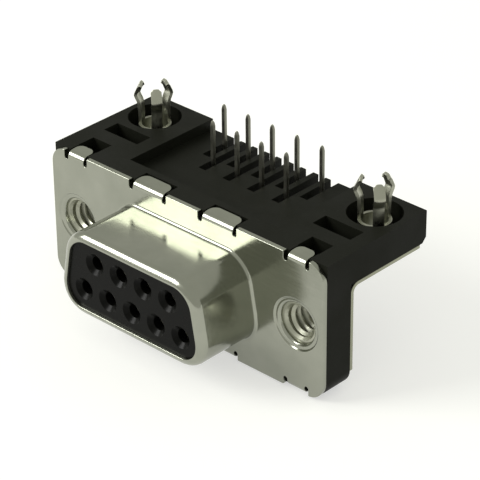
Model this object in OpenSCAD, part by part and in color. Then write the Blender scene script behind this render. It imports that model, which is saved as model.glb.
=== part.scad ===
// Right-angle 9-way D-sub receptacle for a printed circuit board.
// The board side faces up (+Z), the mating face looks along -Y and X runs along the flange.
// The sizes below count Y from the front face of the flange and Z from its lower edge;
// the finished pieces are moved so that the origin lies under the middle of the whole part.

/* [Flange] */
// Distance between the two screw axes, mm
screw_pitch = 24.99; // [24.9:0.01:25.1]
// Distance from a screw axis to the near end of the flange, mm
flange_end = 2.91; // [2.8:0.01:3.1]
// Height of the flange along Z, mm
flange_h = 12.5; // [12.2:0.05:12.8]
// Thickness of the shell's steel sheet, mm
sheet_t = 0.45; // [0.35:0.01:0.5]
// Corner radius of the flange, mm
flange_r = 1.6; // [1.2:0.1:2]
// Diameter of the screw opening in the flange, mm
screw_open_d = 3.6; // [3.4:0.1:3.8]
// Diameter of the dimple around the screw opening, mm
dimple_d = 4.5; // [4.3:0.1:4.8]

/* [Keystone shell] */
// Greatest outer width of the shell, mm
shell_w = 16.33; // [16.2:0.01:16.4]
// Outer height of the shell, mm
shell_h = 7.9; // [7.85:0.01:7.95]
// Reach of the shell in front of the flange, mm
shell_reach = 6.25; // [6:0.05:6.3]
// Outer corner radius of the keystone, mm
shell_r = 2.6; // [2.4:0.1:2.8]
// Tilt of the shell's two ends, degrees
shell_tilt = 10; // [9:1:11]
// Outer radius of the curled front lip, mm
lip_r = 0.75; // [0.65:0.05:0.8]
// Radius between the shell and the flange, mm
root_r = 0.7; // [0.5:0.05:0.8]

/* [Crimp tabs] */
// Width of each outer tab, mm
outer_tab_w = 1.85; // [1.6:0.05:2]
// Width of each inner tab, mm
inner_tab_w = 3.4; // [3:0.1:3.6]
// Distance of the inner tabs from the middle, mm
inner_tab_x = 3.95; // [3.8:0.05:4.1]
// How far back the tabs reach, mm
tab_reach = 1.55; // [1.4:0.05:1.65]
// Outer radius of the tab fold, mm
tab_fold_r = 0.6; // [0.55:0.05:0.7]
// Width of the relief notch beside a tab, mm
notch_w = 0.42; // [0.3:0.02:0.5]

/* [Contacts] */
// Contact spacing along a row, mm
pitch = 2.77; // [2.76:0.01:2.78]
// Spacing of the two contact rows and of the two tail rows, mm
row_pitch = 2.84; // [2.83:0.01:2.85]
// Distance of the first tail row behind the flange face, mm
tail_y = 8.08; // [8.05:0.01:8.15]
// Height of the tail tips, mm
tail_top = 15.5; // [15.3:0.1:15.8]
// Width of a tail along X, mm
tail_w = 0.34; // [0.3:0.01:0.4]
// Thickness of a tail, mm
tail_t = 0.3; // [0.28:0.01:0.36]
// Outer diameter of a socket barrel, mm
barrel_d = 1.5; // [1.45:0.01:1.55]
// Bore of a socket barrel, mm
socket_d = 1.04; // [1.02:0.01:1.06]

/* [Insulator] */
// Distance of the insulator's face in front of the flange face, mm
face_reach = 6; // [5.9:0.05:6.05]
// Mouth diameter of a contact entry, mm
mouth_d = 2.05; // [1.9:0.05:2.2]
// Depth of the countersink at a contact entry, mm
mouth_depth = 0.65; // [0.5:0.05:0.7]

/* [Housing] */
// Distance of the wall's rear face behind the flange face, mm
wall_back = 3.3; // [3.2:0.05:3.4]
// Distance of the rear edge behind the flange face, mm
wing_back = 12.53; // [12.4:0.01:12.7]
// Height of a wing's underside, mm
wing_under = 9.6; // [9.5:0.05:9.7]
// Distance from the middle to a wing's inner side, mm
wing_x = 8.43; // [8.3:0.01:8.5]
// Height of the sunk floor between the wings, mm
floor_z = 11.5; // [11.4:0.05:11.6]
// Distance of the sunk floor's front edge behind the flange face, mm
floor_y = 2.48; // [2.4:0.02:2.6]
// Width of a comb slot, mm
slot_w = 0.82; // [0.78:0.01:0.86]
// Diameter of the lock hole in a wing, mm
lock_hole_d = 4.7; // [4.6:0.05:4.8]

/* [Metal brackets and locks] */
// Thickness of the ground bracket, mm
bracket_t = 0.33; // [0.3:0.01:0.35]
// Width of the ground bracket, mm
bracket_w = 5.7; // [5.4:0.1:5.8]
// Outer radius of the bracket's bend, mm
bracket_r = 0.9; // [0.8:0.05:1]
// Height of the bracket's lower end, mm
bracket_low = 1.5; // [1.3:0.1:1.7]
// Distance of the bracket's rear end behind the flange face, mm
bracket_back = 11.8; // [11.7:0.05:11.9]
// Outer diameter of a board lock's tube, mm
lock_d = 2.84; // [2.8:0.01:2.88]
// Wall of a board lock's tube, mm
lock_t = 0.28; // [0.25:0.01:0.3]
// Widest diameter over the prongs, mm
lock_kink_d = 3.44; // [3.36:0.02:3.5]
// Height of the prong tips, mm
lock_top = 15.75; // [15.6:0.05:15.9]
// Width of the slot between two prongs, mm
lock_slot = 1.12; // [1:0.02:1.2]
// Major diameter of the 4-40 insert thread, mm
thread_d = 2.84; // [2.82:0.01:2.86]
// Body diameter of a threaded insert, mm
insert_d = 4.3; // [4.2:0.05:4.4]

/* [Hidden] */
$fn = 48;
eps = 0.01;
mid_z = flange_h / 2;
screw_x = screw_pitch / 2;
flange_w = screw_pitch + 2 * flange_end;
flange_x = flange_w / 2;
rows = [mid_z - row_pitch / 2, mid_z + row_pitch / 2];
tail_rows = [tail_y + row_pitch, tail_y];
lock_y = tail_y + row_pitch / 2;
shell_gap = 0.05;
hair = 0.003;
plate_back = 1.25;
plate_grow = 1.7;
collar_d = 2.1;
collar_front = 0.75;
barrel_hole_d = 1.6;
barrel_back = 2.6;
bend_r = 0.5;
corner_low_x = shell_w / 2 - shell_r;
corner_low_z = mid_z - shell_h / 2 + shell_r;
corner_high_z = mid_z + shell_h / 2 - shell_r;
corner_high_x = corner_low_x - (corner_high_z - corner_low_z) * tan(shell_tilt);
// Keystone corner centres, counter-clockwise from the lower right
corners = [[corner_low_x, corner_low_z], [corner_high_x, corner_high_z], [-corner_high_x, corner_high_z], [-corner_low_x, corner_low_z]];
// Direction in which each corner's arc starts and ends, degrees
arc_from = [-90, shell_tilt, 90, 180 - shell_tilt];
arc_to = [shell_tilt, 90, 180 - shell_tilt, 270];
tab_list = [[-screw_x, outer_tab_w], [-inner_tab_x, inner_tab_w], [inner_tab_x, inner_tab_w], [screw_x, outer_tab_w]];

steel = [0.68, 0.69, 0.62];
black = [0.16, 0.16, 0.15];
tin = [0.62, 0.62, 0.58];
spring_metal = [0.78, 0.78, 0.72];

// Moves a finished piece so that the origin lies under the middle of the part.
module placed() {
  translate([0, (shell_reach - wing_back) / 2, 0]) children();
}

// Stands a flat drawing of the XZ plane up, h mm deep, starting at depth y and going back.
module stand(y, h) {
  translate([0, y + h, 0]) rotate([90, 0, 0]) linear_extrude(h) children();
}

// A round bar or cone along Y from depth y, h mm long.
module along_y(x, y, z, h, d1, d2) {
  translate([x, y + h, z]) rotate([90, 0, 0]) cylinder(d1 = d2, d2 = d1, h = h);
}

// Sweeps a YZ drawing along X, centred on x.
module across(x, w) {
  translate([x - w / 2, 0, 0]) rotate([90, 0, 90]) linear_extrude(w) children();
}

// Filled keystone, made smaller by inset.
module keystone(inset) {
  r = shell_r - inset;
  polygon([for (i = [0:3], a = [arc_from[i], arc_to[i]]) corners[i] + r * [cos(a), sin(a)]]);
  for (c = corners) translate(c) circle(r);
}

// Carries a wall section (radius from the corner centre, distance forward) around the keystone.
// The first child is turned round each corner. The second, a hair thinner, runs along the four
// straight sides with its ends buried in the corners.
module sweep_keystone() {
  lap = 0.05;
  rotate([90, 0, 0]) for (i = [0:3]) {
    side = norm(corners[(i + 1) % 4] - corners[i]) + 2 * lap;
    translate(corners[i]) rotate_extrude(start = arc_from[i], angle = arc_to[i] - arc_from[i]) children(0);
    translate(corners[i]) rotate(arc_to[i]) translate([0, side - lap, 0]) rotate([90, 0, 0]) linear_extrude(side) children(1);
  }
}

// Quarter of a ring about c, cut to the quadrant that the signs sx and sy point into.
module ring_quarter(c, outer, inner, sx, sy) {
  translate(c) intersection() {
    difference() {
      circle(outer);
      circle(inner);
    }
    translate([sx < 0 ? -outer : 0, sy < 0 ? -outer : 0]) square(outer);
  }
}

// Section of the drawn wall: curled lip, straight wall, root fillet and a stub of flange.
// Its surfaces lie deeper in the sheet by thin.
module wall_section(thin) {
  translate([shell_r - sheet_t + thin, root_r]) square([sheet_t - 2 * thin, shell_reach - lip_r - root_r]);
  intersection() {
    ring_quarter([shell_r - lip_r, shell_reach - lip_r], lip_r - thin, lip_r - sheet_t + thin, 1, 1);
    translate([shell_r - lip_r + thin, 0]) square(shell_reach);
  }
  ring_quarter([shell_r + root_r, root_r], root_r + sheet_t - thin, root_r + thin, -1, -1);
  translate([shell_r + root_r, thin - sheet_t]) square([0.1, sheet_t - 2 * thin]);
  translate([shell_r + root_r + 10 * thin, -sheet_t]) square([0.3 - 20 * thin, sheet_t]);
}

// Flange outline with rounded corners.
module flange_outline() {
  translate([-flange_x + flange_r, 0]) square([flange_w - 2 * flange_r, flange_h]);
  translate([-flange_x, flange_r]) square([flange_w, flange_h - 2 * flange_r]);
  for (x = [-flange_x + flange_r, flange_x - flange_r], z = [flange_r, flange_h - flange_r]) translate([x, z]) circle(flange_r);
}

// Room in the flange for one tab of width w with its notches.
module tab_gap(x, w) {
  translate([x - w / 2, flange_h - tab_fold_r]) square([w, tab_fold_r + 1]);
  for (s = [-1, 1]) {
    notch_x = x + s * (w + notch_w) / 2;
    translate([notch_x - notch_w / 2, flange_h - tab_fold_r]) square([notch_w, tab_fold_r + 1]);
    translate([notch_x, flange_h - tab_fold_r]) circle(notch_w / 2);
  }
}

// One tab: folded over the upper edge, then flat to a rear end with round corners.
module crimp_tab(x, w) {
  flat = tab_reach - tab_fold_r;
  end_r = 0.4;
  across(x, w) ring_quarter([tab_fold_r, flange_h - tab_fold_r], tab_fold_r, tab_fold_r - sheet_t, -1, 1);
  translate([x, tab_fold_r, flange_h - sheet_t]) linear_extrude(sheet_t) union() {
    translate([-w / 2, 0]) square([w, flat - end_r]);
    translate([-w / 2 + end_r, 0]) square([w - 2 * end_r, flat]);
    for (s = [-1, 1]) translate([s * (w / 2 - end_r), flat - end_r]) circle(end_r);
  }
}

// Copies its children to the upper edge and, mirrored, to the lower edge.
module both_edges() {
  children();
  translate([0, 0, flange_h]) mirror([0, 0, 1]) children();
}

module front_shell() {
  color(steel) placed() {
    difference() {
      stand(0, sheet_t) difference() {
        flange_outline();
        keystone(-root_r - 0.15);
        for (tab = tab_list) {
          tab_gap(tab[0], tab[1]);
          translate([0, flange_h]) mirror([0, 1]) tab_gap(tab[0], tab[1]);
        }
      }
      for (s = [-1, 1]) {
        along_y(s * screw_x, -eps, mid_z, sheet_t + 2 * eps, screw_open_d, screw_open_d);
        along_y(s * screw_x, -eps, mid_z, 0.3, dimple_d, screw_open_d);
      }
    }
    sweep_keystone() {
      wall_section(0);
      wall_section(hair);
    }
    both_edges() for (tab = tab_list) crimp_tab(tab[0], tab[1]);
  }
}

module front_insulator() {
  color(black) placed() difference() {
    union() {
      stand(-face_reach, face_reach) keystone(lip_r + shell_gap);
      stand(lip_r - shell_reach, shell_reach - lip_r + plate_back) keystone(sheet_t + shell_gap);
      stand(sheet_t, plate_back - sheet_t) keystone(-plate_grow);
    }
    for (i = [0:8]) let (p = contact_place(i)) {
      along_y(p[0], -face_reach - eps, p[1], mouth_depth + eps, mouth_d, 1.2);
      along_y(p[0], -face_reach, p[1], face_reach + plate_back + eps, 1.2, 1.2);
      along_y(p[0], 1 - face_reach, p[1], face_reach + plate_back, barrel_hole_d, barrel_hole_d);
      along_y(p[0], collar_front, p[1], plate_back - collar_front + eps, collar_d + 0.1, collar_d + 0.1);
    }
  }
}

// Place of contact i (0 to 8): x, height of its row and depth of its tail.
function contact_place(i) = i < 5 ? [(i - 2) * pitch, rows[0], tail_rows[0]] : [(i - 6.5) * pitch, rows[1], tail_rows[1]];

// Side view of the tail: back from the barrel, round the bend and up to the tip.
module tail_profile(z, y) {
  y0 = barrel_back - 0.3;
  inner = bend_r - tail_t / 2;
  translate([y0, z - tail_t / 2]) square([y - bend_r - y0, tail_t]);
  ring_quarter([y - bend_r, z + bend_r], bend_r + tail_t / 2, inner, 1, -1);
  translate([y - tail_t / 2, z + bend_r]) square([tail_t, tail_top - 0.45 - z - bend_r]);
  translate([y, tail_top - 0.45]) polygon([[-tail_t / 2, -eps], [tail_t / 2, -eps], [tail_t / 2, 0], [0.06, 0.45], [-0.06, 0.45], [-tail_t / 2, 0]]);
}

// Socket barrel with a split mouth, a collar and a tail bent up at a right angle.
module contact(i) {
  p = contact_place(i);
  barrel_front = 1.1 - face_reach;
  color(tin) placed() {
    difference() {
      union() {
        along_y(p[0], barrel_front, p[1], barrel_back - barrel_front, barrel_d, barrel_d);
        along_y(p[0], collar_front, p[1], plate_back - collar_front, collar_d, collar_d);
      }
      along_y(p[0], barrel_front - eps, p[1], 4.6, socket_d, socket_d);
      translate([p[0] - barrel_d, barrel_front - eps, p[1] - 0.12]) cube([2 * barrel_d, 3.2, 0.24]);
    }
    intersection() {
      across(p[0], tail_w) tail_profile(p[1], p[2]);
      stand(0, p[2] + 1) translate([p[0], 0]) polygon([[-tail_w / 2, 0], [tail_w / 2, 0], [tail_w / 2, tail_top - 0.45], [0.07, tail_top], [-0.07, tail_top], [-tail_w / 2, tail_top - 0.45]]);
    }
  }
}

module contact_1() {
  contact(0);
}

module contact_2() {
  contact(1);
}

module contact_3() {
  contact(2);
}

module contact_4() {
  contact(3);
}

module contact_5() {
  contact(4);
}

module contact_6() {
  contact(5);
}

module contact_7() {
  contact(6);
}

module contact_8() {
  contact(7);
}

module contact_9() {
  contact(8);
}

// Housing wall as seen from the front: square above, rounded below.
module wall_outline() {
  translate([-flange_x, flange_r]) square([flange_w, flange_h - flange_r]);
  translate([-flange_x + flange_r, 0]) square([flange_w - 2 * flange_r, flange_h]);
  for (s = [-1, 1]) translate([s * (flange_x - flange_r), flange_r]) circle(flange_r);
}

// Side view of a wing with its inner fillet and a bevel at the lower rear edge.
module wing_profile() {
  bevel = 0.45;
  difference() {
    union() {
      polygon([[wall_back - 0.5, wing_under], [wing_back - bevel, wing_under], [wing_back, wing_under + bevel], [wing_back, flange_h], [wall_back - 0.5, flange_h]]);
      translate([wall_back, wing_under - bracket_r]) square(bracket_r);
    }
    translate([wall_back + bracket_r, wing_under - bracket_r]) circle(bracket_r);
  }
}

// Comb slots, one for each tail, open at the rear edge.
module comb_slots() {
  front = [tail_rows[0] - 2.3, tail_rows[1] - 1.4];
  for (i = [0:8]) let (p = contact_place(i), y = front[i < 5 ? 0 : 1]) {
    translate([p[0] - slot_w / 2, y, wing_under - 1]) cube([slot_w, wing_back - y + 1, flange_h]);
  }
}

// Blind pockets sunk into the upper face of one wing.
module wing_pockets() {
  translate([-screw_x - 1.455, lock_y - 4.7, flange_h - 2]) cube([4, 1.62, 3]);
  translate([-screw_x - 1.1, tab_reach - 0.1, flange_h - 1.5]) cube([2.2, 1.75, 3]);
}

module rear_housing() {
  color(black) placed() difference() {
    union() {
      stand(sheet_t, wall_back - sheet_t) wall_outline();
      for (s = [-1, 1]) across(s * (flange_x + wing_x) / 2, flange_x - wing_x) wing_profile();
      translate([-wing_x - eps, wall_back - 0.5, wing_under]) cube([2 * (wing_x + eps), wing_back - wall_back + 0.5, flange_h - wing_under]);
    }
    translate([-wing_x, floor_y, floor_z]) cube([2 * wing_x, wing_back, 2]);
    stand(sheet_t - eps, plate_back - sheet_t + eps) keystone(-plate_grow - 0.05);
    for (i = [0:8]) let (p = contact_place(i)) along_y(p[0], 1, p[1], wall_back, barrel_hole_d, barrel_hole_d);
    comb_slots();
    both_edges() for (tab = tab_list) {
      translate([tab[0] - tab[1] / 2 - 0.12, sheet_t - eps, flange_h - sheet_t]) cube([tab[1] + 0.24, tab_reach + 0.25 - sheet_t, 2]);
      translate([tab[0] - tab[1] / 2 - 0.12, sheet_t - eps, flange_h - tab_fold_r]) cube([tab[1] + 0.24, tab_fold_r - sheet_t + eps, 2]);
    }
    for (m = [0, 1]) mirror([m, 0, 0]) {
      wing_pockets();
      translate([-screw_x, lock_y, wing_under - 1]) cylinder(d = lock_hole_d, h = 5);
    }
    for (s = [-1, 1]) along_y(s * screw_x, 0, mid_z, wall_back + 1, insert_d, insert_d);
  }
}

// Bent strip behind one insert and under one wing.
module ground_bracket(s) {
  x = s * (flange_x - bracket_w / 2);
  color(tin) placed() difference() {
    across(x, bracket_w) union() {
      translate([wall_back, bracket_low]) square([bracket_t, wing_under - bracket_r - bracket_low]);
      ring_quarter([wall_back + bracket_r, wing_under - bracket_r], bracket_r, bracket_r - bracket_t, -1, 1);
      translate([wall_back + bracket_r, wing_under - bracket_t]) square([bracket_back - wall_back - bracket_r, bracket_t]);
    }
    along_y(s * screw_x, 0, mid_z, 6, insert_d - 0.6, insert_d - 0.6);
    translate([s * screw_x, lock_y, wing_under - 1]) cylinder(d = lock_d, h = 2);
  }
}

module ground_bracket_left() {
  ground_bracket(-1);
}

module ground_bracket_right() {
  ground_bracket(1);
}

// Rolled tube with a foot below the bracket and four sprung prongs above the board face.
module boardlock(s) {
  r = lock_d / 2;
  kink_r = lock_kink_d / 2;
  foot_z = wing_under - bracket_t;
  color(spring_metal) placed() translate([s * screw_x, lock_y, 0]) difference() {
    rotate_extrude() polygon([[r - lock_t, foot_z - 0.32], [r + 0.6, foot_z - 0.32], [r + 0.6, foot_z], [r, foot_z], [r, flange_h + 0.9], [kink_r, 14.7], [1.14, lock_top], [0.9, lock_top - 0.12], [kink_r - lock_t - 0.05, 14.66], [r - lock_t, flange_h + 0.9]]);
    for (a = [0, 90]) rotate(a) translate([-3, -lock_slot / 2, flange_h + 0.4]) cube([6, lock_slot, 4]);
  }
}

module boardlock_left() {
  boardlock(-1);
}

module boardlock_right() {
  boardlock(1);
}

// Insert pressed through the wall, stepped down through the bracket and flared behind it.
module threaded_insert(s) {
  back = wall_back + bracket_t;
  x = s * screw_x;
  color(tin) placed() difference() {
    union() {
      along_y(x, sheet_t, mid_z, wall_back - sheet_t, insert_d, insert_d);
      along_y(x, wall_back - eps, mid_z, bracket_t + 2 * eps, insert_d - 0.6, insert_d - 0.6);
      along_y(x, back, mid_z, 0.35, insert_d, insert_d - 0.3);
    }
    along_y(x, 0, mid_z, 6, thread_d, thread_d);
    along_y(x, sheet_t - eps, mid_z, 0.25, thread_d + 0.4, thread_d);
  }
}

module threaded_insert_left() {
  threaded_insert(-1);
}

module threaded_insert_right() {
  threaded_insert(1);
}

front_shell();
front_insulator();
rear_housing();
contact_1();
contact_2();
contact_3();
contact_4();
contact_5();
contact_6();
contact_7();
contact_8();
contact_9();
ground_bracket_left();
ground_bracket_right();
boardlock_left();
boardlock_right();
threaded_insert_left();
threaded_insert_right();
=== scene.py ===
import math

import bmesh
import bpy
from mathutils import Matrix, Vector


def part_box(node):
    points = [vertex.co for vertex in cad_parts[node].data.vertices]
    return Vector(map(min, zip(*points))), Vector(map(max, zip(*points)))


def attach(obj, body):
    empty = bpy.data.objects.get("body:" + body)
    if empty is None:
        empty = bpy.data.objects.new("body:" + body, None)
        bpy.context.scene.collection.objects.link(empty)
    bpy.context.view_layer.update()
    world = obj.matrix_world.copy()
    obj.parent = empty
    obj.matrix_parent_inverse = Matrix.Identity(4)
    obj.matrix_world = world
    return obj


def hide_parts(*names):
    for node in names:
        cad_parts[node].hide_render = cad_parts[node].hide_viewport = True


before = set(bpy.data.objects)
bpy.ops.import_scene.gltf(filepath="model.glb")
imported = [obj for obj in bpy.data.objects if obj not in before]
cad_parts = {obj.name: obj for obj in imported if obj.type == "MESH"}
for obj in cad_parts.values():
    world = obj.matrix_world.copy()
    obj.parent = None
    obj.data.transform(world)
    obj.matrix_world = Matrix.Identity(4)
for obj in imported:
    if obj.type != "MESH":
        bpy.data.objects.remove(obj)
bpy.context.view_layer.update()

# ---------------------------------------------------------------------------
# Front shell: one drawing of 0.45 mm steel strip, tin plated. A punch pushes the keystone
# collar out of the flange and curls its lip inwards, and eight tabs are crimped back over the
# housing, each between two relief notches.
# ---------------------------------------------------------------------------
sheet = 0.45
flange_half = 15.405
flange_h = 12.5
flange_r = 1.6
mid_z = flange_h / 2
screw_x = 12.495
hole_d = 3.6
hole_round = 0.3
coin_d = 4.75
coin_deep = 0.12

# The collar, seen from the front. Low and high are the middles of its corner arcs.
collar_r = 2.6
collar_half_h = 3.95
low_x = 5.565
high_x = 5.089
tilt = math.radians(10)

# The collar, seen from the side. The rim is the flat strip of flange drawn with it.
reach = 6.25
lip_r = 0.75
root_r = 0.3
rim = 0.15

# Each tab's middle and width, its fold, its length past the fold, and the end's small lift.
tabs = ((-screw_x, 1.85), (-3.95, 3.4), (3.95, 3.4), (screw_x, 1.85))
fold_r = 0.6
tab_flat = 0.95
tab_lift = 0.05
tab_corner = 0.72
tab_corner_share = 0.33
notch = 0.42

# How far a cutter reaches past what it cuts, how near a picked place must lie, how squarely a
# picked face must look its way, and the gap under which corners are one.
past = 1
close = 0.01
squarely = 0.9
weld = 0.002

# The pieces are shaped in millimetres. Y counts back from the flange's front face and Z up
# from its lower edge, so this is where that corner sits in the frame.
mm = 0.001
home = Vector((0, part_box("rear_housing")[0].y - sheet * mm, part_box("front_shell")[0].z))


def started(name):
    """Takes the primitive that was just added, with its place and size moved into its mesh."""
    bpy.ops.object.transform_apply(location=True, rotation=True, scale=True)
    bpy.context.object.name = name
    return bpy.context.object


def block(name, low, high):
    """A cube primitive between two corners."""
    bpy.ops.object.select_all(action="DESELECT")
    middle = [(a + b) / 2 for a, b in zip(low, high)]
    bpy.ops.mesh.primitive_cube_add(size=1, location=middle)
    bpy.context.object.scale = [b - a for a, b in zip(low, high)]
    return started(name)


def round_bar(name, foot, length, d1, d2, axis="Y", sides=48):
    """A cylinder or cone primitive from its foot along Y or Z."""
    bpy.ops.object.select_all(action="DESELECT")
    along = Vector((0, 1, 0)) if axis == "Y" else Vector((0, 0, 1))
    lie = (-math.pi / 2, 0, 0) if axis == "Y" else (0, 0, 0)
    middle = Vector(foot) + along * length / 2
    bpy.ops.mesh.primitive_cone_add(
        vertices=sides, radius1=d1 / 2, radius2=d2 / 2, depth=length, location=middle, rotation=lie
    )
    return started(name)


def choose(piece):
    """Makes the piece the only selected object."""
    bpy.ops.object.select_all(action="DESELECT")
    bpy.context.view_layer.objects.active = piece
    piece.select_set(True)


def work_on(piece):
    """Opens the piece for editing with nothing selected."""
    choose(piece)
    bpy.ops.object.mode_set(mode="EDIT")
    bpy.ops.mesh.select_all(action="DESELECT")


def done():
    """Closes the piece that is open for editing."""
    bpy.ops.object.mode_set(mode="OBJECT")


def pick(part, test):
    """Selects the corners, edges or faces of the open piece that pass the test on their middle."""
    piece = bpy.context.object
    bpy.ops.mesh.select_mode(type=part)
    bpy.ops.mesh.select_all(action="DESELECT")
    mesh = bmesh.from_edit_mesh(piece.data)
    for item in {"VERT": mesh.verts, "EDGE": mesh.edges, "FACE": mesh.faces}[part]:
        corners = [item.co] if part == "VERT" else [corner.co for corner in item.verts]
        if test(sum(corners, Vector()) / len(corners), item):
            item.select_set(True)
    mesh.select_flush_mode()
    bmesh.update_edit_mesh(piece.data)


def draw_out(x, y, z):
    """Extrudes what is picked."""
    bpy.ops.mesh.extrude_region_move(TRANSFORM_OT_translate={"value": (x, y, z)})


def resize(x, y, z, centre):
    """Scales what is picked about a centre."""
    bpy.ops.transform.resize(value=(x, y, z), center_override=centre)


def round_off(offset, segments, kind="EDGES"):
    """Bevels what is picked."""
    bpy.ops.mesh.bevel(offset=offset, segments=segments, affect=kind, clamp_overlap=False)


def face_outwards():
    """Turns every face of the open piece outwards."""
    bpy.ops.mesh.select_all(action="SELECT")
    bpy.ops.mesh.normals_make_consistent(inside=False)


def apply(piece, kind, **settings):
    """Adds a modifier with its settings and applies it."""
    choose(piece)
    modifier = piece.modifiers.new("work", kind)
    for name, value in settings.items():
        setattr(modifier, name, value)
    bpy.ops.object.modifier_apply(modifier="work")


def carve(piece, tool, how="DIFFERENCE"):
    """Cuts the tool out of the piece, or adds it, and takes it away."""
    apply(piece, "BOOLEAN", object=tool, operation=how, solver="EXACT")
    bpy.data.objects.remove(tool)


def join(piece, other):
    """Makes the other mesh part of the piece."""
    choose(piece)
    other.select_set(True)
    bpy.ops.object.join()


def keystone_face(name, grow, y):
    """Flat keystone at depth y, facing forwards, larger than the collar's outer wall by grow."""
    # The arcs turn through more than a quarter below and less above, so they run farther below.
    low_run = (collar_r + grow) * (1 + math.sin(tilt)) / math.cos(tilt)
    high_run = (collar_r + grow) * (1 - math.sin(tilt)) / math.cos(tilt)
    half_h = collar_half_h + grow
    centre = (0, y, mid_z)
    bpy.ops.object.select_all(action="DESELECT")
    bpy.ops.mesh.primitive_plane_add(size=2, location=centre, rotation=(math.pi / 2, 0, 0))
    piece = started(name)
    work_on(piece)
    pick("VERT", lambda c, v: c.z < mid_z)
    resize(low_x + low_run, 1, half_h, centre)
    pick("VERT", lambda c, v: c.z > mid_z)
    resize(high_x + high_run, 1, half_h, centre)
    pick("VERT", lambda c, v: c.z < mid_z)
    round_off(low_run, 12, "VERTICES")
    pick("VERT", lambda c, v: c.z > mid_z + half_h - close)
    round_off(high_run, 10, "VERTICES")
    done()
    return piece


def keystone_block(name, grow, y, length):
    """Keystone prism from depth y back."""
    piece = keystone_face(name, grow, y)
    work_on(piece)
    bpy.ops.mesh.select_all(action="SELECT")
    draw_out(0, length, 0)
    face_outwards()
    done()
    return piece


def from_screw(place):
    """How far a place lies from the nearer screw's axis."""
    return math.hypot(abs(place.x) - screw_x, place.z - mid_z)


# The flat flange: only its front skin is kept, and the sheet's thickness comes last.
shell = block("shell", (-flange_half, 0, 0), (flange_half, sheet, flange_h))
work_on(shell)
pick("EDGE", lambda c, e: abs(c.y - sheet / 2) < close)
round_off(flange_r, 14)
done()
carve(shell, keystone_block("hole", root_r + rim, -past, 3 * past))
for side in (-1, 1):
    carve(shell, round_bar("hole", (side * screw_x, -past, mid_z), 3 * past, coin_d, coin_d))
for x, width in tabs:
    half = width / 2 + notch
    for up in (1, -1):
        fold_z = mid_z + up * (mid_z - fold_r)
        low, high = sorted((fold_z, mid_z + up * (mid_z + past)))
        carve(shell, block("gap", (x - half, -past, low), (x + half, 2 * past, high)))
        for side in (-1, 1):
            foot = (x + side * (width + notch) / 2, -past, fold_z)
            carve(shell, round_bar("gap", foot, 3 * past, notch, notch, sides=16))
work_on(shell)
pick("FACE", lambda c, f: c.y > close)
bpy.ops.mesh.delete(type="FACE")
done()

# The drawn collar, ring by ring: flat rim, root radius, wall, curled lip.
collar = keystone_face("collar", root_r + rim, 0)
work_on(collar)
bpy.ops.mesh.select_mode(type="FACE")
bpy.ops.mesh.select_all(action="SELECT")
bpy.ops.mesh.inset(thickness=rim, depth=0)
quarter = [math.radians(angle) for angle in range(0, 91, 15)]
for a, b in zip(quarter, quarter[1:]):
    forwards = root_r * (math.cos(a) - math.cos(b))
    bpy.ops.mesh.inset(thickness=root_r * (math.sin(b) - math.sin(a)), depth=forwards)
draw_out(0, root_r + lip_r - reach, 0)
for a, b in zip(quarter, quarter[1:]):
    forwards = lip_r * (math.sin(b) - math.sin(a))
    bpy.ops.mesh.inset(thickness=lip_r * (math.cos(a) - math.cos(b)), depth=forwards)
bpy.ops.mesh.delete(type="FACE")
done()
join(shell, collar)

work_on(shell)
bpy.ops.mesh.select_all(action="SELECT")
bpy.ops.mesh.remove_doubles(threshold=weld)

# Each screw opening is coined: the sheet round it is pressed in a little before the hole. The
# ring is drawn in twice, down a slope of 45 degrees and then flat to the hole's edge.
sloped = 1 - 2 * coin_deep / coin_d
flat = hole_d / (coin_d - 2 * coin_deep)
for side in (-1, 1):
    axis_point = (side * screw_x, 0, mid_z)
    pick(
        "EDGE",
        lambda c, e: e.is_boundary and c.x * side > 0 and abs(from_screw(c) - coin_d / 2) < close,
    )
    draw_out(0, coin_deep, 0)
    resize(sloped, 1, sloped, axis_point)
    draw_out(0, 0, 0)
    resize(flat, 1, flat, axis_point)

# The tabs: each edge between two notches is swung round the fold and drawn out flat.
for x, width in tabs:
    corner = min(tab_corner, width * tab_corner_share)
    for up in (1, -1):
        fold_z = mid_z + up * (mid_z - fold_r)
        fold = (x, fold_r, fold_z)
        tab_end = fold_r + tab_flat - close
        pick("EDGE", lambda c, e: abs(c.x - x) < close and abs(c.z - fold_z) < close and e.is_boundary)
        bpy.ops.mesh.spin(steps=6, angle=up * math.pi / 2, center=fold, axis=(1, 0, 0))
        draw_out(0, tab_flat, up * tab_lift)
        pick("VERT", lambda c, v: abs(c.x - x) < width and c.y > tab_end and (c.z - mid_z) * up > 0)
        round_off(corner, 8, "VERTICES")
done()
apply(shell, "SOLIDIFY", thickness=sheet, offset=-1, use_even_offset=True, use_rim=True)
work_on(shell)
pick("EDGE", lambda c, e: abs(c.y - coin_deep) < close and abs(from_screw(c) - hole_d / 2) < close)
round_off(hole_round, 4)
done()


def linear(code):
    """An sRGB hex colour as linear values."""
    parts = [int(code[i : i + 2], 16) / 255 for i in (1, 3, 5)]
    curve = [p / 12.92 if p <= 0.04045 else ((p + 0.055) / 1.055) ** 2.4 for p in parts]
    return (*curve, 1.0)


def node(tree, kind, settings=None, links=None):
    """Adds a node with its settings, on sockets or properties by name, and its links."""
    new = tree.nodes.new(kind)
    for name, value in (settings or {}).items():
        if isinstance(name, int) or name in new.inputs:
            new.inputs[name].default_value = value
        else:
            setattr(new, name, value)
    for socket, output in (links or {}).items():
        tree.links.new(output, new.inputs[socket])
    return new


def empty_tree(thing):
    """The thing's node tree, emptied."""
    thing.use_nodes = True
    thing.node_tree.nodes.clear()
    return thing.node_tree


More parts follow.
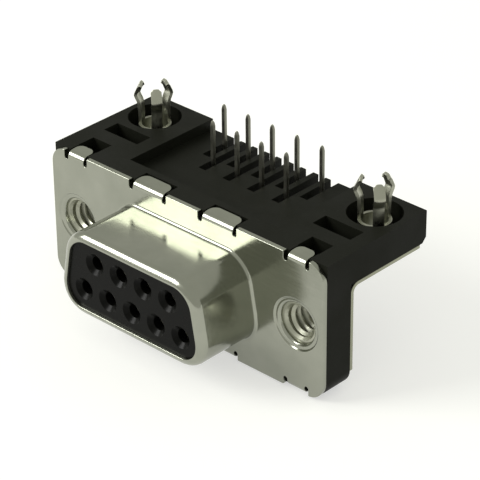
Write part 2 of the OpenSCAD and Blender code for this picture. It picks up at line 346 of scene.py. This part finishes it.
# Distances in the plating, in millimetres. The plating clouds over, and the strip isn't quite
# flat. The strip's rolling lines really lie some 0.02 mm apart, too fine to show, so they are
# drawn coarser. They run along X, ten times as long as they are wide.
cloud_width = 3.846
wave_width = 2.381
line_width = 0.3125
line_stretch = 0.1


def plated(name, colour, dull_colour, rough, wave, grain):
    """A plated metal: duller clouds, lines along the strip, waves and grain of a height in mm."""
    material = bpy.data.materials.new(name)
    tree = empty_tree(material)
    place = node(tree, "ShaderNodeTexCoord").outputs["Object"]
    clouds = node(
        tree, "ShaderNodeTexNoise", {"Scale": 1 / (cloud_width * mm), "Detail": 4.0, "Roughness": 0.6},
        {"Vector": place},
    )
    along = node(tree, "ShaderNodeMapping", {"Scale": (line_stretch, 1.0, 1.0)}, {"Vector": place})
    lines = node(
        tree, "ShaderNodeTexNoise", {"Scale": 1 / (line_width * mm), "Detail": 2.0},
        {"Vector": along.outputs["Vector"]},
    )
    # Both patterns dull the metal: the clouds tint it, and both together roughen it.
    tint = node(
        tree, "ShaderNodeMix", {"data_type": "RGBA", 6: linear(colour), 7: linear(dull_colour)},
        {0: clouds.outputs["Fac"]},
    )
    worn = node(
        tree, "ShaderNodeMath", {"operation": "ADD"},
        {0: clouds.outputs["Fac"], 1: lines.outputs["Fac"]},
    )
    drift = node(
        tree, "ShaderNodeMapRange",
        {"From Min": 0.7, "From Max": 1.3, "To Min": rough * 0.75, "To Max": rough * 1.3},
        {"Value": worn.outputs["Value"]},
    )
    waves = node(
        tree, "ShaderNodeTexNoise", {"Scale": 1 / (wave_width * mm), "Detail": 1.5},
        {"Vector": place},
    )
    wavy = node(
        tree, "ShaderNodeBump", {"Strength": 1.0, "Distance": wave * mm},
        {"Height": waves.outputs["Fac"]},
    )
    grained = node(
        tree, "ShaderNodeBump", {"Strength": 1.0, "Distance": grain * mm},
        {"Height": lines.outputs["Fac"], "Normal": wavy.outputs["Normal"]},
    )
    surface = node(
        tree, "ShaderNodeBsdfPrincipled", {"Metallic": 1.0},
        {
            "Base Color": tint.outputs[2],
            "Roughness": drift.outputs["Result"],
            "Normal": grained.outputs["Normal"],
        },
    )
    node(tree, "ShaderNodeOutputMaterial", None, {"Surface": surface.outputs["BSDF"]})
    return material


# Faces that meet flatter than the first angle become one, and up to the second they look round.
flat_angle = math.radians(0.5)
round_angle = math.radians(35)


def fit(piece, material, slot, *nodes, edge=0.05, steps=3, limit=35, merge=weld, clamp=True):
    """Breaks the sharp edges, gives the finish, and sets the piece in the frame in metres."""
    work_on(piece)
    bpy.ops.mesh.select_all(action="SELECT")
    bpy.ops.mesh.remove_doubles(threshold=merge)
    bpy.ops.mesh.dissolve_limited(angle_limit=flat_angle)
    done()
    apply(
        piece, "BEVEL", width=edge, segments=steps, limit_method="ANGLE",
        angle_limit=math.radians(limit), use_clamp_overlap=clamp, miter_outer="MITER_ARC",
    )
    work_on(piece)
    face_outwards()
    done()
    bpy.ops.object.shade_smooth_by_angle(angle=round_angle)
    apply(piece, "WEIGHTED_NORMAL", mode="FACE_AREA", weight=100, keep_sharp=True)
    piece.scale = (mm, mm, mm)
    piece.location = home
    bpy.ops.object.transform_apply(location=True, rotation=True, scale=True)
    piece.data.materials.clear()
    piece.data.materials.append(material)
    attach(piece, "root")
    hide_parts(*nodes)


# Tin over nickel on deep-drawing steel: bright and a shade warm, with soft reflections that
# waver a little as they cross the drawn sheet.
tinned_steel = plated("tin_plated_drawn_steel", "#a5a69b", "#8a8d81", 0.18, wave=0.009, grain=0.0009)
fit(shell, tinned_steel, "shell_plating", "front_shell", edge=0.055, merge=0.012, clamp=False)

# ---------------------------------------------------------------------------
# Front insulator: black glass-filled polyester, moulded. Its nose fills the shell behind the
# curled lip, a plate behind the flange stops it from being pulled out, and nine countersunk
# entries lead the mating pins in.
# ---------------------------------------------------------------------------
pitch = 2.77
row_gap = 2.84
face_y = -6.0
nose_gap = 0.05
nose_step = 0.3
nose_step_y = 0.5
plate_t = 0.8
plate_over = 1.7
entry_d = 1.2
entry_deep = 1.0
bore_d = 1.6

# The lengths of the entries' and bores' cutters, which end behind the plate.
entry_cutter = 9
bore_cutter = 8

# The countersink's cutter starts a little ahead of the face and ends inside the entry.
sink_ahead = 0.1
sink_long = 0.5
sink_d = 2.29
sink_tip_d = 1.08

# Each contact's X and Z, and how far back its tail stands. Five are below and four above.
tail_rows = (10.92, 8.08)
places = [((i - 2) * pitch, mid_z - row_gap / 2, tail_rows[0]) for i in range(5)]
places += [((i - 1.5) * pitch, mid_z + row_gap / 2, tail_rows[1]) for i in range(4)]

insulator = keystone_block("insulator", -lip_r - nose_gap, face_y, nose_step_y)
work_on(insulator)
pick("FACE", lambda c, f: f.normal.y > squarely)
bpy.ops.mesh.inset(thickness=nose_step, use_outset=True)
pick("FACE", lambda c, f: f.normal.y > squarely)
draw_out(0, sheet - face_y - nose_step_y, 0)
done()
carve(insulator, keystone_block("plate", plate_over, sheet, plate_t), how="UNION")
for x, z, _ in places:
    entry = (x, face_y - past, z)
    carve(insulator, round_bar("bore", entry, entry_cutter, entry_d, entry_d, sides=32))
    bore = (x, face_y + entry_deep, z)
    carve(insulator, round_bar("bore", bore, bore_cutter, bore_d, bore_d, sides=32))
    sink = (x, face_y - sink_ahead, z)
    carve(insulator, round_bar("mouth", sink, sink_long, sink_d, sink_tip_d, sides=32))

# Distances in the plastic, in millimetres. Flow clouds show as they are.
flow_width = 3.333


def moulded(name, colour, worn_colour, rough, grain_width, grain):
    """Glass-filled plastic: flow clouds, and a mould's grain of a width and height in mm."""
    material = bpy.data.materials.new(name)
    tree = empty_tree(material)
    place = node(tree, "ShaderNodeTexCoord").outputs["Object"]
    clouds = node(
        tree, "ShaderNodeTexNoise", {"Scale": 1 / (flow_width * mm), "Detail": 3.0},
        {"Vector": place},
    )
    tint = node(
        tree, "ShaderNodeMix", {"data_type": "RGBA", 6: linear(colour), 7: linear(worn_colour)},
        {0: clouds.outputs["Fac"]},
    )
    drift = node(
        tree, "ShaderNodeMapRange",
        {"From Min": 0.3, "From Max": 0.7, "To Min": rough * 0.85, "To Max": rough * 1.15},
        {"Value": clouds.outputs["Fac"]},
    )
    sparks = node(
        tree, "ShaderNodeTexNoise", {"Scale": 1 / (grain_width * mm), "Detail": 2.0},
        {"Vector": place},
    )
    # Glass fibres at the surface are about 0.01 mm thick, too fine to show, so they are drawn
    # as pale flecks on the grain's highest spots.
    glass = node(
        tree, "ShaderNodeMapRange", {"From Min": 0.62, "From Max": 0.78, "To Max": 0.3},
        {"Value": sparks.outputs["Fac"]},
    )
    flecked = node(
        tree, "ShaderNodeMix", {"data_type": "RGBA", 7: linear("#3b3c34")},
        {0: glass.outputs["Result"], 6: tint.outputs[2]},
    )
    skin = node(
        tree, "ShaderNodeBump", {"Strength": 1.0, "Distance": grain * mm},
        {"Height": sparks.outputs["Fac"]},
    )
    surface = node(
        tree, "ShaderNodeBsdfPrincipled", {"IOR": 1.5, "Specular IOR Level": 0.08},
        {
            "Base Color": flecked.outputs[2],
            "Roughness": drift.outputs["Result"],
            "Normal": skin.outputs["Normal"],
        },
    )
    node(tree, "ShaderNodeOutputMaterial", None, {"Surface": surface.outputs["BSDF"]})
    return material


# Black glass-filled polyester from a fine mould: near black and satin. The mould's grain is
# really about 0.03 mm wide, too fine to show, so it is drawn four times as wide.
insulator_polyester = moulded(
    "black_polyester_insulator", "#070706", "#0a0a08", 0.3, grain_width=0.12, grain=0.0006
)
fit(insulator, insulator_polyester, "insulator_plastic", "front_insulator")

# ---------------------------------------------------------------------------
# Rear housing: black glass-filled polyester, moulded in one with the two wings that carry the
# board locks. The shelf between the wings is sunk and slotted as a comb, one slot for each
# tail, open at the rear edge.
# ---------------------------------------------------------------------------
wall_back = 3.3
wing_back = 12.53
wing_under = 9.6
wing_chamfer = 0.45
overlap = 0.5
plate_gap = 0.05

# The sunk comb, and how far the long and the short slots start ahead of their tails.
comb_half = 8.43
comb_floor = 11.5
comb_front = 2.48
slot_w = 0.82
slot_ahead = {tail_rows[0]: 2.3, tail_rows[1]: 1.4}

# Seats for the shell's tabs, the pockets in the wings, and the holes.
seat_gap = 0.12
seat_back = 1.8
long_pocket_x = (9.95, 13.95)
long_pocket_y = (4.8, 6.42)
long_pocket_deep = 2
tab_pocket_half = 1.1
tab_pocket_y = (1.45, 3.2)
tab_pocket_deep = 1.5
lock_y = 9.5
lock_hole_d = 4.7
insert_d = 4.3
through = 5

housing = block("housing", (-flange_half, sheet, 0), (flange_half, wall_back, flange_h))
work_on(housing)
pick("EDGE", lambda c, e: abs(c.y - (sheet + wall_back) / 2) < close and c.z < close)
round_off(flange_r, 8)
done()
shelf_front = wall_back - overlap
shelf = block("shelf", (-flange_half, shelf_front, wing_under), (flange_half, wing_back, flange_h))
work_on(shelf)
pick("EDGE", lambda c, e: c.y > wing_back - close and c.z < wing_under + close)
round_off(wing_chamfer, 1)
done()
carve(housing, shelf, how="UNION")

top = flange_h + past
rear = wing_back + past
carve(housing, block("sunk", (-comb_half, comb_front, comb_floor), (comb_half, rear, top)))
plate_pocket_deep = overlap + plate_t + plate_gap
carve(housing, keystone_block("pocket", plate_over + plate_gap, sheet - overlap, plate_pocket_deep))
for x, z, tail_y in places:
    carve(housing, round_bar("bore", (x, 0, z), through, bore_d, bore_d, sides=24))
    low = (x - slot_w / 2, tail_y - slot_ahead[tail_y], wing_under - past)
    carve(housing, block("slot", low, (x + slot_w / 2, rear, flange_h)))
for x, width in tabs:
    half = width / 2 + seat_gap
    for up in (1, -1):
        # First the room for the fold, then the flat seat under the tab.
        for deep, back in ((fold_r, fold_r), (sheet, seat_back)):
            low, high = sorted((mid_z + up * (mid_z - deep), mid_z + up * (mid_z + past)))
            carve(housing, block("seat", (x - half, sheet - overlap, low), (x + half, back, high)))
for side in (-1, 1):
    x = side * screw_x
    left, right = sorted((side * long_pocket_x[0], side * long_pocket_x[1]))
    low = (left, long_pocket_y[0], flange_h - long_pocket_deep)
    carve(housing, block("pocket", low, (right, long_pocket_y[1], top)))
    low = (x - tab_pocket_half, tab_pocket_y[0], flange_h - tab_pocket_deep)
    carve(housing, block("pocket", low, (x + tab_pocket_half, tab_pocket_y[1], top)))
    lock_foot = (x, lock_y, wing_under - past)
    carve(housing, round_bar("bore", lock_foot, through, lock_hole_d, lock_hole_d, axis="Z"))
    carve(housing, round_bar("bore", (x, 0, mid_z), through, insert_d, insert_d))

# The same polyester from a coarser, spark-eroded mould: it goes dark grey where light grazes
# it. The grain is really about 0.05 mm wide, and is drawn wider so that it shows.
housing_polyester = moulded(
    "black_polyester_housing", "#141510", "#1a1b15", 0.5, grain_width=0.14, grain=0.002
)
fit(housing, housing_polyester, "housing_plastic", "rear_housing", edge=0.09)

# ---------------------------------------------------------------------------
# Contacts: stamped copper alloy, tinned. A split socket sits in the insulator, and a square
# tail runs back, turns up in a tight bend and ends in a coined point.
# ---------------------------------------------------------------------------
socket_d = 1.5
socket_bore_d = 1.04
socket_front = face_y + 1.1
socket_long = 7.5
socket_bore_long = 5.7
split_w = 0.24
split_long = 4.3
shoulder_y = 0.75
shoulder_long = 0.5
shoulder_d = 2.1
tail_front = 2.3
tail_w = 0.34
tail_t = 0.3
tail_top = 15.5
tail_bend_r = 0.5

# The point, in two steps: how high each is and what it leaves of the tail's width.
point_steps = ((0.3, 0.72), (0.15, 0.4))
point_long = 0.45

# Matt tin over copper alloy: a dull, darker grey than the shell's, with a coarser grain.
contact_tin = plated("dull_tinned_copper_alloy", "#87877b", "#74746a", 0.36, wave=0.004, grain=0.0016)
for number, (x, z, tail_y) in enumerate(places, start=1):
    name = f"contact_{number}_dressed"
    contact = round_bar(name, (x, socket_front, z), socket_long, socket_d, socket_d, sides=24)
    foot = (x, shoulder_y, z)
    shoulder = round_bar("shoulder", foot, shoulder_long, shoulder_d, shoulder_d, sides=24)
    carve(contact, shoulder, how="UNION")
    bore = (x, face_y, z)
    carve(contact, round_bar("bore", bore, socket_bore_long, socket_bore_d, socket_bore_d, sides=24))
    low = (x - socket_d, face_y, z - split_w / 2)
    carve(contact, block("split", low, (x + socket_d, face_y + split_long, z + split_w / 2)))
    bend_y = tail_y - tail_bend_r
    low = (x - tail_w / 2, tail_front, z - tail_t / 2)
    tail = block("tail", low, (x + tail_w / 2, bend_y, z + tail_t / 2))
    work_on(tail)
    pick("FACE", lambda c, f: f.normal.y > squarely)
    bend = (x, bend_y, z + tail_bend_r)
    bpy.ops.mesh.spin(steps=6, angle=-math.pi / 2, center=bend, axis=(1, 0, 0))
    draw_out(0, 0, tail_top - point_long - z - tail_bend_r)
    for rise, share in point_steps:
        draw_out(0, 0, rise)
        resize(share, share, 1, (x, tail_y, tail_top))
    done()
    carve(contact, tail, how="UNION")
    fit(contact, contact_tin, "contact_tin", f"contact_{number}", edge=0.03, limit=50)

# ---------------------------------------------------------------------------
# Ground brackets: tinned strip, bent to an angle. One leg lies behind the wall under the
# insert's flare, the other under a wing where the board lock is riveted through it.
# ---------------------------------------------------------------------------
strip = 0.33
strip_w = 5.7
strip_low = 1.5
strip_back = 11.8
strip_bend_r = 0.9
neck_d = insert_d - 0.6
lock_d = 2.84
through_all = 6

# Tinned strip: a warm, even grey that shines more softly than the shell.
bracket_tin = plated("tinned_strip", "#a3a492", "#90917e", 0.28, wave=0.01, grain=0.0014)
for side, word in ((-1, "left"), (1, "right")):
    x = side * (flange_half - strip_w / 2)
    low = (x - strip_w / 2, wall_back, strip_low)
    high = (x + strip_w / 2, wall_back + strip, wing_under - strip_bend_r)
    bracket = block(f"ground_bracket_{word}_dressed", low, high)
    work_on(bracket)
    pick("FACE", lambda c, f: f.normal.z > squarely)
    bend = (x, wall_back + strip_bend_r, wing_under - strip_bend_r)
    bpy.ops.mesh.spin(steps=8, angle=math.pi / 2, center=bend, axis=(1, 0, 0))
    draw_out(0, strip_back - wall_back - strip_bend_r, 0)
    done()
    carve(bracket, round_bar("hole", (side * screw_x, 0, mid_z), through_all, neck_d, neck_d))
    lock_foot = (side * screw_x, lock_y, wing_under - past)
    carve(bracket, round_bar("hole", lock_foot, 2 * past, lock_d, lock_d, axis="Z"))
    fit(bracket, bracket_tin, "bracket_tin", f"ground_bracket_{word}")

# ---------------------------------------------------------------------------
# Board locks: rolled and tinned spring bronze. A tube flared under the bracket rises through
# the wing's hole and splits into three prongs, kinked so that they snap into the board.
# ---------------------------------------------------------------------------
lock_t = 0.28
foot_z = wing_under - strip
flare_drop = 0.02
flare = 1.35
slot_floor = 11.9
prong_top = 15.7

# The prongs' directions, half the angle that each takes up, and the angle round its middle
# within which all its corners lie.
prong_places = [math.radians(angle) for angle in (-37, 83, 203)]
prong_half = math.radians(20)
prong_reach = math.radians(32)

# The tube's 72 sides are turned so that the prongs' borders fall between its edges.
lock_sides = 72
lock_turn = math.radians(3)

# How far out a prong stands at each height: upright, kinked out to catch the board, then in.
prong_bends = (
    (12.6, 0), (13.5, 0.03), (13.85, 0.12), (14.25, 0.32),
    (14.45, 0.38), (14.65, 0.33), (15.2, 0.08), (prong_top, -0.16),
)

# The top is rounded: beyond each distance from the prong's middle it drops by so much more.
tip_z = 15.25
tip_drops = ((0.16, 0.03), (0.26, 0.06), (0.36, 0.1), (0.44, 0.1))


def round_from(place, x, angle):
    """How far round the lock at x a place lies from the angle."""
    found = math.atan2(place.y - lock_y, place.x - x)
    return abs((found - angle + math.pi) % (2 * math.pi) - math.pi)


def beside(place, x, angle):
    """How far a place lies aside of the line out of the lock at x at the angle."""
    return abs((place.y - lock_y) * math.cos(angle) - (place.x - x) * math.sin(angle))


# Bright tin over spring bronze: the palest of the metals, satin where it was rolled.
lock_tin = plated("bright_tinned_spring_bronze", "#b6b7aa", "#a0a192", 0.34, wave=0.006, grain=0.0012)
for side, word in ((-1, "left"), (1, "right")):
    x = side * screw_x
    bpy.ops.object.select_all(action="DESELECT")
    bpy.ops.mesh.primitive_cylinder_add(
        vertices=lock_sides, radius=lock_d / 2, depth=slot_floor - foot_z, end_fill_type="NOTHING",
        location=(x, lock_y, (slot_floor + foot_z) / 2), rotation=(0, 0, lock_turn),
    )
    lock = started(f"boardlock_{word}_dressed")
    work_on(lock)
    pick("EDGE", lambda c, e: c.z < foot_z + close)
    draw_out(0, 0, -flare_drop)
    resize(flare, flare, 1, (x, lock_y, foot_z))
    pick("EDGE", lambda c, e: c.z > slot_floor - close)
    below = slot_floor
    for z, _ in prong_bends:
        draw_out(0, 0, z - below)
        below = z
    # What stands above the slots' floor is cut away between the prongs.
    pick(
        "FACE",
        lambda c, f: c.z > slot_floor and min(round_from(c, x, at) for at in prong_places) > prong_half,
    )
    bpy.ops.mesh.delete(type="FACE")
    for at in prong_places:
        for z, out in prong_bends:
            pick("VERT", lambda c, v: abs(c.z - z) < close and round_from(c, x, at) < prong_reach)
            bpy.ops.transform.translate(value=(out * math.cos(at), out * math.sin(at), 0))
        for off, drop in tip_drops:
            pick(
                "VERT",
                lambda c, v: c.z > tip_z
                and round_from(c, x, at) < prong_reach
                and beside(c, x, at) > off,
            )
            bpy.ops.transform.translate(value=(0, 0, -drop))
    face_outwards()
    done()
    apply(lock, "SOLIDIFY", thickness=lock_t, offset=-1, use_even_offset=True, use_rim=True)
    fit(lock, lock_tin, "lock_tin", f"boardlock_{word}", steps=2, limit=50)

# ---------------------------------------------------------------------------
# Threaded inserts: turned brass, nickel plated, pressed through the wall and flared over the
# bracket. The 4-40 thread inside is cut at 0.635 mm a turn.
# ---------------------------------------------------------------------------
step_in = 0.2
flare_long = 0.35
flare_taper = 0.3
thread_d = 2.84
lead_in_d = thread_d + 0.4
lead_in_long = 0.25
crest_d = 2.3
lead = 0.635
turns = 4
steps_a_turn = 36

# The ridge's section: most of a turn's advance wide where it is rooted, narrow at its crest.
ridge_front = sheet + 0.25
ridge_w = 0.8 * lead
ridge_root = 0.06
crest_share = 0.15
thin = 0.001

# Nickel over turned brass: paler than the shell's tin, and satin from the tool.
insert_nickel = plated("nickel_plated_brass", "#b2b3a5", "#9fa091", 0.42, wave=0.005, grain=0.001)
for side, word in ((-1, "left"), (1, "right")):
    x = side * screw_x
    name = f"threaded_insert_{word}_dressed"
    insert = round_bar(name, (x, sheet, mid_z), wall_back - sheet, insert_d, insert_d)
    neck = round_bar("neck", (x, wall_back - step_in, mid_z), strip + 2 * step_in, neck_d, neck_d)
    carve(insert, neck, how="UNION")
    foot = (x, wall_back + strip, mid_z)
    flared = round_bar("flare", foot, flare_long, insert_d, insert_d - flare_taper)
    carve(insert, flared, how="UNION")
    carve(insert, round_bar("bore", (x, 0, mid_z), through_all, thread_d, thread_d))
    lead_in = (x, sheet - close, mid_z)
    carve(insert, round_bar("lead_in", lead_in, lead_in_long, lead_in_d, thread_d))

    # One ridge of the thread, turned round the axis as it advances.
    low = (x + crest_d / 2, ridge_front, mid_z - thin)
    high = (x + thread_d / 2 + ridge_root, ridge_front + ridge_w, mid_z + thin)
    ridge = block("ridge", low, high)
    work_on(ridge)
    pick("FACE", lambda c, f: f.normal.z < squarely)
    bpy.ops.mesh.delete(type="FACE")
    pick("VERT", lambda c, v: c.x < x + crest_d / 2 + close)
    resize(1, crest_share, 1, (x, ridge_front + ridge_w / 2, mid_z))
    done()
    bpy.context.scene.cursor.location = (x, 0, mid_z)
    bpy.ops.object.origin_set(type="ORIGIN_CURSOR")
    apply(
        ridge, "SCREW", axis="Y", angle=2 * math.pi * turns, screw_offset=lead * turns,
        steps=steps_a_turn * turns, render_steps=steps_a_turn * turns,
    )
    bpy.ops.object.transform_apply(location=True, rotation=True, scale=True)
    join(insert, ridge)
    fit(insert, insert_nickel, "insert_plating", f"threaded_insert_{word}", edge=0.04, limit=60)

# ---------------------------------------------------------------------------
# Floor and walls: a sheet of white paper that keeps the part's shadow, and a pale, faintly
# yellow surround. A glow that only the eye and the metal see makes the pale paper white.
# ---------------------------------------------------------------------------
floor_size = 3
floor_drop = 0.0002
paper_glow = 0.54

bpy.ops.object.select_all(action="DESELECT")
floor_place = (0, 0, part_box("front_shell")[0].z - floor_drop)
bpy.ops.mesh.primitive_plane_add(size=floor_size, location=floor_place)
floor = started("floor")
paper = bpy.data.materials.new("white_paper")
tree = empty_tree(paper)
path = node(tree, "ShaderNodeLightPath")
seen = node(
    tree, "ShaderNodeMath", {"operation": "MAXIMUM"},
    {0: path.outputs["Is Camera Ray"], 1: path.outputs["Is Glossy Ray"]},
)
seen = node(
    tree, "ShaderNodeMath", {"operation": "MAXIMUM"},
    {0: seen.outputs["Value"], 1: path.outputs["Is Transmission Ray"]},
)
glow = node(tree, "ShaderNodeMath", {"operation": "MULTIPLY", 1: paper_glow}, {0: seen.outputs["Value"]})
lit = node(tree, "ShaderNodeBsdfDiffuse", {"Color": linear("#c3c3be")})
plain = node(
    tree, "ShaderNodeEmission", {"Color": linear("#ffffff")}, {"Strength": glow.outputs["Value"]}
)
both = node(tree, "ShaderNodeAddShader", None, {0: lit.outputs["BSDF"], 1: plain.outputs["Emission"]})
node(tree, "ShaderNodeOutputMaterial", None, {"Surface": both.outputs["Shader"]})
floor.data.materials.append(paper)

world = bpy.data.worlds.new("walls")
bpy.context.scene.world = world
tree = empty_tree(world)
walls = node(tree, "ShaderNodeBackground", {"Color": (0.99, 1.0, 0.91, 1), "Strength": 0.66})
node(tree, "ShaderNodeOutputWorld", None, {"Surface": walls.outputs["Background"]})

# ---------------------------------------------------------------------------
# Light and camera: one soft box from the front left and above, which lays the bright streak on
# the collar, and a long lens that looks down on the part from the front right.
# ---------------------------------------------------------------------------
soft_box_place = Vector((-0.3, -0.32, 0.26))
part_middle = Vector((0, 0, 0.007))
soft_box = bpy.data.lights.new("key", "AREA")
soft_box.shape = "RECTANGLE"
soft_box.size = 0.26
soft_box.size_y = 0.22
soft_box.energy = 1.85
soft_box.color = (1.0, 1.0, 0.98)
key = bpy.data.objects.new("key", soft_box)
bpy.context.scene.collection.objects.link(key)
key.location = soft_box_place
key.rotation_euler = (part_middle - soft_box_place).to_track_quat("-Z", "Y").to_euler()

target = Vector((0.00155, 0.00209, 0.00744))
ahead = Vector((-0.5944, 0.6271, -0.5034)).normalized()
stand_back = 0.202
lean = -0.0103
eye = bpy.data.cameras.new("camera")
eye.lens = 182.4
eye.sensor_width = 36
eye.clip_start = 0.01
camera = bpy.data.objects.new("camera", eye)
bpy.context.scene.collection.objects.link(camera)
stand = Matrix.Translation(target - ahead * stand_back)
look = ahead.to_track_quat("-Z", "Y").to_matrix().to_4x4()
camera.matrix_world = stand @ look @ Matrix.Rotation(lean, 4, "Z")
bpy.context.scene.camera = camera

bpy.context.scene.view_settings.view_transform = "Standard"
